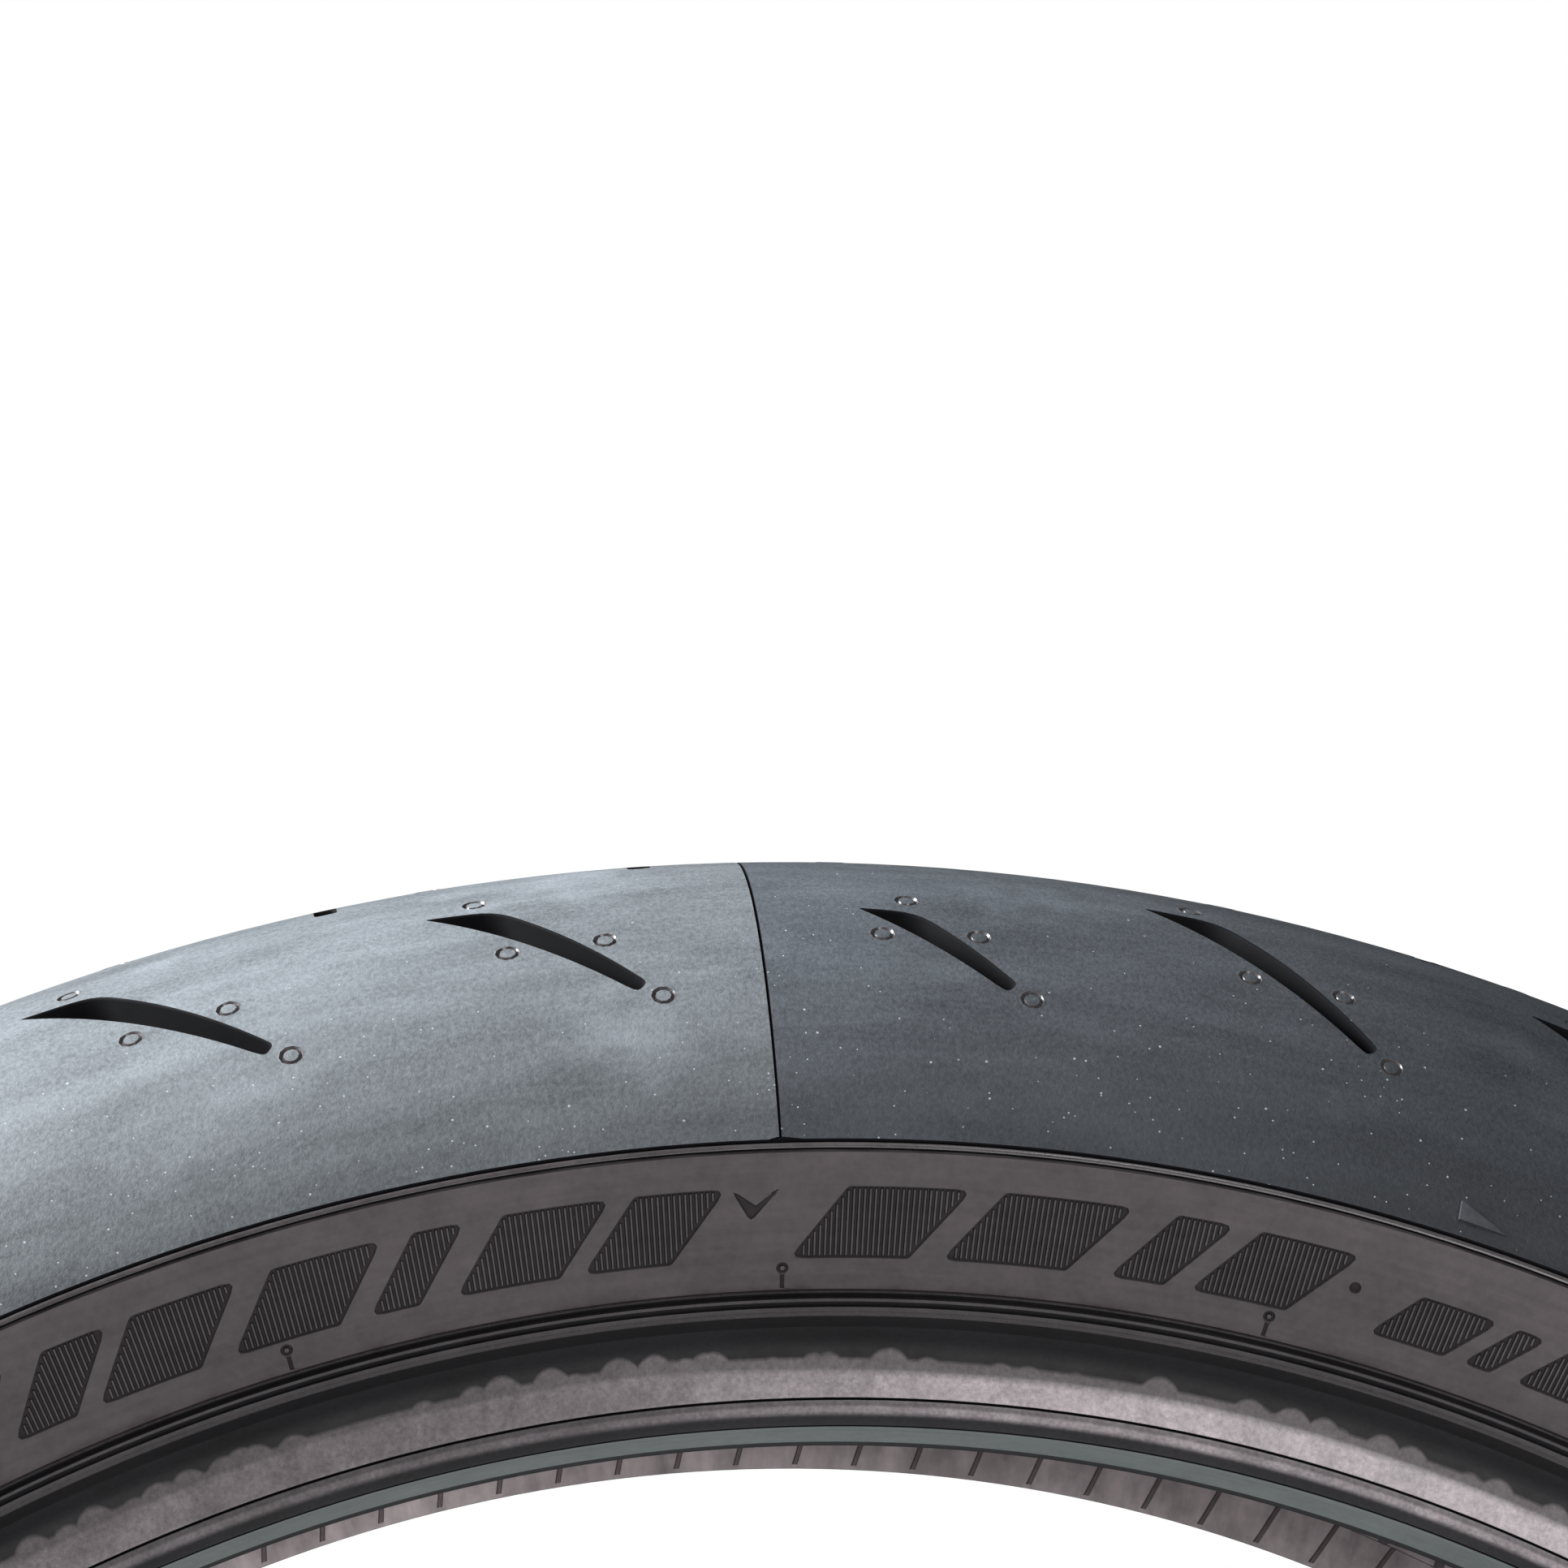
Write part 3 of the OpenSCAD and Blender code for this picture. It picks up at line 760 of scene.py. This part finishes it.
class Graph:
    """Short names for the shader nodes that the materials use."""

    def __init__(self, name):
        self.material = bpy.data.materials.new(name)
        self.material.use_nodes = True
        self.tree = self.material.node_tree
        self.shader = self.tree.nodes["Principled BSDF"]
        self.position = self.node("ShaderNodeTexCoord").outputs["Object"]

    def node(self, kind, **settings):
        node = self.tree.nodes.new(kind)
        for key, value in settings.items():
            setattr(node, key, value)
        return node

    def feed(self, socket, value):
        if isinstance(value, bpy.types.NodeSocket):
            self.tree.links.new(value, socket)
        else:
            socket.default_value = value

    def math(self, operation, a, b=0.0):
        node = self.node("ShaderNodeMath", operation=operation)
        self.feed(node.inputs[0], a)
        self.feed(node.inputs[1], b)
        return node.outputs[0]

    def plus(self, a, b):
        return self.math("ADD", a, b)

    def minus(self, a, b):
        return self.math("SUBTRACT", a, b)

    def times(self, a, b):
        return self.math("MULTIPLY", a, b)

    def ramp(self, value, low, high, to_low=0.0, to_high=1.0):
        """A clamped straight line from (low, to_low) to (high, to_high)."""
        node = self.node("ShaderNodeMapRange", clamp=True)
        for socket, v in zip(node.inputs, (value, low, high, to_low, to_high)):
            self.feed(socket, v)
        return node.outputs[0]

    def noise(self, scale, detail=2.0, roughness=0.5, vector=None):
        node = self.node("ShaderNodeTexNoise")
        self.feed(node.inputs["Vector"], self.position if vector is None else vector)
        node.inputs["Scale"].default_value = scale
        node.inputs["Detail"].default_value = detail
        node.inputs["Roughness"].default_value = roughness
        return node.outputs[0]

    def specks(self, scale, size, share):
        """Small dots in a share of the cells of a random pattern. The share may be a socket."""
        node = self.node("ShaderNodeTexVoronoi")
        self.feed(node.inputs["Vector"], self.position)
        node.inputs["Scale"].default_value = scale
        near = self.math("LESS_THAN", node.outputs["Distance"], size)
        split = self.node("ShaderNodeSeparateColor")
        self.feed(split.inputs[0], node.outputs["Color"])
        return self.times(near, self.math("LESS_THAN", split.outputs[0], share))

    def polar(self):
        """Angle from the top towards +X in degrees, radius and sideways distance, in millimetres."""
        split = self.node("ShaderNodeSeparateXYZ")
        self.feed(split.inputs[0], self.position)
        x, y, z = split.outputs
        angle = self.times(self.math("ARCTAN2", x, z), 180 / math.pi)
        square = self.plus(self.times(x, x), self.times(z, z))
        return angle, self.times(self.math("SQRT", square), 1000), self.times(y, 1000)

    def join(self, x, y, z):
        node = self.node("ShaderNodeCombineXYZ")
        for socket, v in zip(node.inputs, (x, y, z)):
            self.feed(socket, v)
        return node.outputs[0]

    def mix(self, share, a, b):
        node = self.node("ShaderNodeMix", data_type="RGBA")
        self.feed(node.inputs[0], share)
        for socket, color in ((node.inputs[6], a), (node.inputs[7], b)):
            self.feed(socket, (*color, 1) if isinstance(color, tuple) else color)
        return node.outputs[2]

    def scaled(self, color, amount):
        node = self.node("ShaderNodeVectorMath", operation="SCALE")
        self.feed(node.inputs[0], color)
        self.feed(node.inputs["Scale"], amount)
        return node.outputs[0]

    def finish(self, color, roughness, height=None, distance=0.0001, strength=0.5, **fixed):
        """Feeds the shader. A bump's distance is in metres, and fixed holds values for other sockets."""
        self.feed(self.shader.inputs["Base Color"], color)
        self.feed(self.shader.inputs["Roughness"], roughness)
        for key, value in fixed.items():
            self.shader.inputs[key.replace("_", " ")].default_value = value
        if height is not None:
            bump = self.node("ShaderNodeBump")
            bump.inputs["Strength"].default_value = strength
            bump.inputs["Distance"].default_value = distance
            self.feed(bump.inputs["Height"], height)
            self.feed(self.shader.inputs["Normal"], bump.outputs[0])
        return self.material


def tread_material():
    """New tread: matte grey with a fine grain, a different tone from each mould segment that is partly
    painted sheen, and painted shade.
    """
    g = Graph("tread_rubber")
    angle, radius, y = g.polar()
    # Millimetres from the crown down the section, and round the wheel.
    across = g.times(g.math("ARCTAN2", g.math("ABSOLUTE", y), g.minus(radius, ARC_C)), TREAD_ARC)
    along = g.times(angle, TREAD_MM_PER_DEG)
    # The mould segment's number, and the degrees past the seam where it starts.
    from_seam = g.minus(angle, PHASE + SEAM_AT)
    segment = g.math("FLOOR", g.math("DIVIDE", from_seam, SEAM_EVERY * PITCH))
    past_seam = g.minus(from_seam, g.times(segment, SEAM_EVERY * PITCH))
    # Each segment's tone between dark and light, partly its own finish and partly painted sheen: the
    # power leaves most of them dark.
    tone = g.ramp(g.math("COSINE", g.plus(g.times(segment, 2.4), 2.4)), -1, 1)
    tone = g.math("POWER", tone, 3)

    clouds = g.noise(22, 4, 0.6)
    slanted_along = g.plus(g.times(along, 0.035), g.times(across, 0.02))
    smears = g.noise(1.0, 5, 0.62, g.join(slanted_along, g.times(across, 0.16), segment))
    grain = g.noise(1500, 3, 0.75)
    light = g.plus(g.ramp(clouds, 0.3, 0.7, 0.86, 1.14), g.ramp(smears, 0.25, 0.75, -0.24, 0.24))
    light = g.plus(light, g.ramp(grain, 0.3, 0.7, -0.25, 0.25))
    blotches = g.noise(40, 4, 0.6)
    light = g.plus(light, g.ramp(blotches, 0.56, 0.72, 0, 0.45))
    # Painted shade: darker away from the seam, near the crown and towards the tread's edge.
    seam_shade_start = g.minus(1.0, g.times(tone, 0.45))
    light = g.times(light, g.ramp(past_seam, 0, 20, seam_shade_start, 0.55))
    light = g.times(light, g.ramp(across, 56, 82, 1, 0.57))
    light = g.times(light, g.ramp(across, 12, 26, 0.75, 1))
    color = g.scaled(g.mix(tone, TREAD_DARK, TREAD_LIGHT), light)
    # Pale dust that gathers towards the edge.
    dust_share = g.times(g.ramp(across, 40, 78, 0.01, 0.12), g.ramp(clouds, 0.4, 0.6, 0.3, 1))
    dust = g.math("MAXIMUM", g.specks(700, 0.12, dust_share), g.specks(1400, 0.17, dust_share))
    color = g.mix(g.times(dust, 0.7), color, DUST)
    rough = g.plus(g.ramp(grain, 0.3, 0.7, 0.5, 0.62), g.ramp(smears, 0.3, 0.7, -0.06, 0.06))
    return g.finish(color, rough, grain, 0.00012, 0.7, Specular_IOR_Level=0.3)


def smooth_rubber(name, color, tint, rough, grain_scale=900, bump=0.25, spec=0.5, streak=0.1,
                  run=(0.12, 0.9)):
    """Moulded rubber with faint clouds, a fine grain and streaks.

    The streaks run round the wheel, or down the section if the first number of run is the larger.
    """
    g = Graph(name)
    angle, radius, _ = g.polar()
    clouds = g.noise(30, 4, 0.6)
    smears = g.noise(170, 4, 0.6)
    grain = g.noise(grain_scale, 2, 0.6)
    streaks = g.noise(1.0, 4, 0.6, g.join(g.times(angle, run[0]), g.times(radius, run[1]), 0.0))
    base = g.mix(g.ramp(clouds, 0.35, 0.65), color, tint)
    light = g.plus(g.ramp(smears, 0.3, 0.7, 0.86, 1.12), g.ramp(grain, 0.3, 0.7, -0.1, 0.1))
    light = g.plus(light, g.ramp(streaks, 0.3, 0.7, -streak, streak))
    shine = g.plus(g.ramp(smears, 0.3, 0.7, rough - 0.05, rough + 0.06),
                   g.ramp(grain, 0.3, 0.7, -0.03, 0.03))
    return g.finish(g.scaled(base, light), shine, grain, 0.00005, bump, Specular_IOR_Level=spec)


def bead_material():
    """Smooth bead rubber: a frosted film with a scalloped upper edge on the face, with painted shade
    round the wheel and a painted highlight on the heel.
    """
    g = Graph("bead_rubber")
    angle, radius, _ = g.polar()
    above_seat = g.minus(radius, SEAT_R)
    # How worn the film is, partly real wear and partly painted shade: worn and whole stretches take turns
    # round the wheel.
    from_seam = g.minus(angle, PHASE + SEAM_AT)
    wear_and_shade = g.ramp(g.math("SINE", g.times(from_seam, FILM_WAVES * math.pi / 180)), -0.55, 0.5, 1, 0)

    # The film's upper edge drifts up and down, and a fainter fringe of round lobes stands above it.
    drift = g.plus(g.ramp(g.noise(12, 2), 0.35, 0.65, -0.3, 0.3), g.ramp(wear_and_shade, 0, 1, 0, 1.2))
    film = g.ramp(g.minus(g.plus(drift, FILM_TOP), above_seat), -0.7, 0.7)
    lobes = g.node("ShaderNodeTexVoronoi")
    g.feed(lobes.inputs["Vector"], g.join(angle, g.times(radius, 0.05), 0.0))
    lobes.inputs["Scale"].default_value = LOBES_PER_DEG
    scallop = g.ramp(g.math("POWER", lobes.outputs["Distance"], 2), 0, 0.35, 0.8, -0.7)
    fringe_edge = g.plus(scallop, g.ramp(wear_and_shade, 0, 1, *FRINGE_TOP))
    fringe = g.ramp(g.minus(fringe_edge, above_seat), -0.25, 0.3)
    film = g.math("MAXIMUM", film, g.times(fringe, g.ramp(wear_and_shade, 0, 1, 0.26, 0.6)))

    # Below the bead line the film is thin, but for one glossy band round the heel, which is partly a
    # painted highlight.
    gloss_highlight = g.ramp(g.math("ABSOLUTE", g.minus(above_seat, GLOSS_HIGHLIGHT_AT)), 0.25, 0.85, 0.8, 0)
    heel = g.math("MAXIMUM", gloss_highlight, g.ramp(above_seat, 1.3, 2.2, 0.03, 0.35))
    heel = g.math("MAXIMUM", heel, g.ramp(above_seat, 3.3, 3.8))
    film = g.times(g.times(film, heel), g.ramp(wear_and_shade, 0, 1, 1, 0.42))

    mottle = g.noise(260, 4, 0.65)
    clouds = g.noise(55, 3, 0.6)
    grain = g.noise(1700, 2, 0.7)
    bare = g.mix(g.ramp(clouds, 0.3, 0.7), (0.007, 0.007, 0.008), (0.015, 0.014, 0.016))
    frosted = g.mix(g.ramp(mottle, 0.35, 0.65), (0.4, 0.35, 0.365), (0.6, 0.53, 0.55))
    color = g.mix(g.times(film, g.ramp(clouds, 0.25, 0.6, 0.75, 1)), bare, frosted)
    color = g.scaled(color, g.ramp(grain, 0.3, 0.7, 0.75, 1.25))
    rough = g.plus(g.ramp(film, 0, 0.5, 0.62, 0.36), g.ramp(mottle, 0.3, 0.7, -0.05, 0.07))
    bumps = g.plus(grain, g.times(mottle, 1.5))
    return g.finish(color, rough, bumps, 0.00006, 0.4, Specular_IOR_Level=0.5)


def cord_fabric(name, color, ridge_rate):
    """Rubber-coated textile: close ridges of cord, ridge_rate radians of their sine to a degree."""
    g = Graph(name)
    angle, _, _ = g.polar()
    cords = g.math("SINE", g.times(angle, ridge_rate))
    grain = g.noise(700, 2)
    tone = g.plus(g.ramp(cords, -1, 1, 0.75, 1.15), g.ramp(grain, 0.3, 0.7, -0.1, 0.1))
    base = g.mix(grain, color, tuple(c * 0.8 for c in color))
    return g.finish(g.scaled(base, tone), 0.75, cords, 0.0002, 0.5)


def metal(name, color):
    """Drawn wire with a fine, slightly uneven polish."""
    g = Graph(name)
    grain = g.noise(1200, 3)
    base = g.mix(grain, color, tuple(c * 0.7 for c in color))
    tone = g.scaled(base, g.ramp(grain, 0.3, 0.7, 0.85, 1.1))
    return g.finish(tone, g.ramp(grain, 0.3, 0.7, 0.25, 0.42), grain, 0.00003, 0.3, Metallic=1.0)


tread_rubber = tread_material()
# The groove, mark, recess and rib rubbers are darker than the rubber around them: painted shade in
# grooves, sunken marks, hollows and along ribs.
groove_rubber = smooth_rubber("groove_rubber", (0.004, 0.004, 0.005), (0.007, 0.007, 0.008), 0.8,
                              spec=0.08)
sidewall_rubber = smooth_rubber("sidewall_rubber", (0.088, 0.075, 0.078), (0.104, 0.088, 0.091), 0.45)
edge_rubber = smooth_rubber("edge_rubber", (0.06, 0.054, 0.056), (0.075, 0.067, 0.069), 0.26)
mark_rubber = smooth_rubber("mark_rubber", (0.022, 0.018, 0.02), (0.03, 0.026, 0.028), 0.55, spec=0.3)
bead_rubber = bead_material()
seat_rubber = smooth_rubber("seat_rubber", (0.16, 0.188, 0.178), (0.19, 0.218, 0.207), 0.4)
liner_rubber = smooth_rubber("liner_rubber", (0.3, 0.255, 0.26), (0.6, 0.52, 0.53), 0.5,
                             grain_scale=500, bump=0.5, streak=0.3, run=(0.9, 0.06))
rib_shade_rubber = smooth_rubber("liner_rib_rubber", (0.1, 0.078, 0.08), (0.15, 0.12, 0.123), 0.5,
                           grain_scale=500, bump=0.5)
pointer_rubber = smooth_rubber("pointer_rubber", (0.055, 0.06, 0.067), (0.075, 0.08, 0.088), 0.3)
recess_rubber = smooth_rubber("recess_rubber", (0.007, 0.007, 0.008), (0.011, 0.011, 0.012), 0.4,
                              spec=0.25)
base_rubber = smooth_rubber("base_rubber", (0.03, 0.03, 0.032), (0.04, 0.04, 0.042), 0.6)
topping_rubber = smooth_rubber("topping_rubber", (0.025, 0.025, 0.027), (0.033, 0.033, 0.035), 0.55)
ply_fabric = cord_fabric("ply_fabric", (0.2, 0.165, 0.12), 9.0)
steel_cord = metal("steel_cord", (0.62, 0.45, 0.25))

# ---- Pieces ----


def place(build, name, materials, slot, *nodes):
    """Makes a fixed piece, in place of the named CAD nodes if there are any."""
    piece = build.finish(name, materials)
    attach(piece, "root")
    if nodes:
        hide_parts(*nodes)


place(tread_mesh(), "tread", [tread_rubber, groove_rubber, edge_rubber], "tread_rubber", "tread_cap")
place(wear_pointers(), "wear_pointers", [pointer_rubber], "tread_rubber")
bands = (band_patch(True), band_patch(False))
bead_materials = [bead_rubber, seat_rubber, groove_rubber, liner_rubber, edge_rubber, recess_rubber]
for side, word in ((-1, "left"), (1, "right")):
    place(wing_mesh(side), "edge_rib_" + word, [edge_rubber, groove_rubber], "sidewall_rubber",
          "tread_wing_" + word)
    place(sidewall_mesh(side, bands), "moulded_sidewall_" + word, [sidewall_rubber, mark_rubber],
          "sidewall_rubber", "sidewall_" + word)
    place(rim_cushion_mesh(side), "bead_" + word, bead_materials, "bead_rubber", "rim_cushion_" + word)
    # The toe ribs get the darker rib rubber: painted shade along them.
    place(toe_ribs_mesh(side), "toe_ribs_" + word, [rib_shade_rubber], "liner_rubber")
place(liner_mesh(), "ribbed_liner", [liner_rubber, rib_shade_rubber], "liner_rubber", "inner_liner")

# The layers inside keep their CAD shapes and get a look each.
INSIDE = {"base_rubber": base_rubber, "topping_rubber": topping_rubber, "ply_fabric": ply_fabric,
          "steel_cord": steel_cord}
SLOT_OF = {s["node"]: s["material_slot"] for s in frame["record"]["subparts"]}
for name, node in frame["nodes"].items():
    look = INSIDE.get(SLOT_OF.get(name))
    if look is None or node.type != "MESH":
        continue
    for material_slot in node.material_slots:
        material_slot.material = look

# ---- Floor, lights and camera ----

FLOOR_REACH_M = 3.0
FLOOR_GAP_M = 0.0005
TOP = (0, 0, CROWN_R * MM)
# Name, place and diameter in metres, watts and color of each light; all are aimed at the tyre's top.
LIGHTS = (
    ("window_left", (-2.16, -0.06, 1.36), 1.4, 230, (0.97, 0.985, 1.0)),
    ("front_low", (0.5, -1.9, -0.15), 1.2, 9, (1.0, 0.98, 0.97)),
    ("panel_right", (0.75, -1.77, 0.33), 0.7, 8, (1.0, 0.96, 0.97)),
    ("glint", (0.5, -1.3, 1.5), 0.22, 4, (1, 1, 1)),
)
AMBIENT_COLOR = (0.93, 0.96, 1.0, 1)
AMBIENT_STRENGTH = 0.1
BACKDROP_COLOR = (1, 1, 1, 1)
CAMERA_AT_M = (-0.0499, -0.4814, 0.1925)
CAMERA_TOWARDS = (0.0905, 0.9661, 0.2417)
LENS_MM = 78.67
SENSOR_MM = 36


def aimed(name, data, place_m, towards):
    """An object that looks along a direction."""
    obj = bpy.data.objects.new(name, data)
    obj.location = place_m
    obj.rotation_euler = Vector(towards).to_track_quat("-Z", "Y").to_euler()
    bpy.context.scene.collection.objects.link(obj)
    return obj


def add_floor():
    ground = -CROWN_R * MM - FLOOR_GAP_M
    mesh = bpy.data.meshes.new("floor")
    mesh.from_pydata([(-FLOOR_REACH_M, -FLOOR_REACH_M, ground), (FLOOR_REACH_M, -FLOOR_REACH_M, ground),
                      (FLOOR_REACH_M, FLOOR_REACH_M, ground), (-FLOOR_REACH_M, FLOOR_REACH_M, ground)],
                     [], [(0, 1, 2, 3)])
    g = Graph("floor")
    mesh.materials.append(g.finish(g.mix(g.noise(3, 2), (0.27, 0.275, 0.28), (0.31, 0.31, 0.31)), 0.7))
    floor = bpy.data.objects.new("floor", mesh)
    bpy.context.scene.collection.objects.link(floor)


def add_lights():
    for name, place_m, diameter, watts, color in LIGHTS:
        light = bpy.data.lights.new(name, "AREA")
        light.shape = "DISK"
        light.size = diameter
        light.energy = watts
        light.color = color
        aimed(name, light, place_m, Vector(TOP) - Vector(place_m))


def add_world():
    """Dim ambient light, and a plain white backdrop that only the camera sees."""
    world = bpy.data.worlds.new("studio")
    world.use_nodes = True
    tree = world.node_tree
    ambient = tree.nodes["Background"]
    ambient.inputs["Color"].default_value = AMBIENT_COLOR
    ambient.inputs["Strength"].default_value = AMBIENT_STRENGTH
    backdrop = tree.nodes.new("ShaderNodeBackground")
    backdrop.inputs["Color"].default_value = BACKDROP_COLOR
    backdrop.inputs["Strength"].default_value = 1.0
    path = tree.nodes.new("ShaderNodeLightPath")
    choose = tree.nodes.new("ShaderNodeMixShader")
    tree.links.new(path.outputs["Is Camera Ray"], choose.inputs[0])
    tree.links.new(ambient.outputs[0], choose.inputs[1])
    tree.links.new(backdrop.outputs[0], choose.inputs[2])
    tree.links.new(choose.outputs[0], tree.nodes["World Output"].inputs["Surface"])
    bpy.context.scene.world = world


def add_camera():
    data = bpy.data.cameras.new("camera")
    data.sensor_width = SENSOR_MM
    data.lens = LENS_MM
    data.clip_start = 0.01
    bpy.context.scene.camera = aimed("camera", data, CAMERA_AT_M, CAMERA_TOWARDS)
    bpy.context.scene.view_settings.view_transform = "Standard"


add_floor()
add_lights()
add_world()
add_camera()
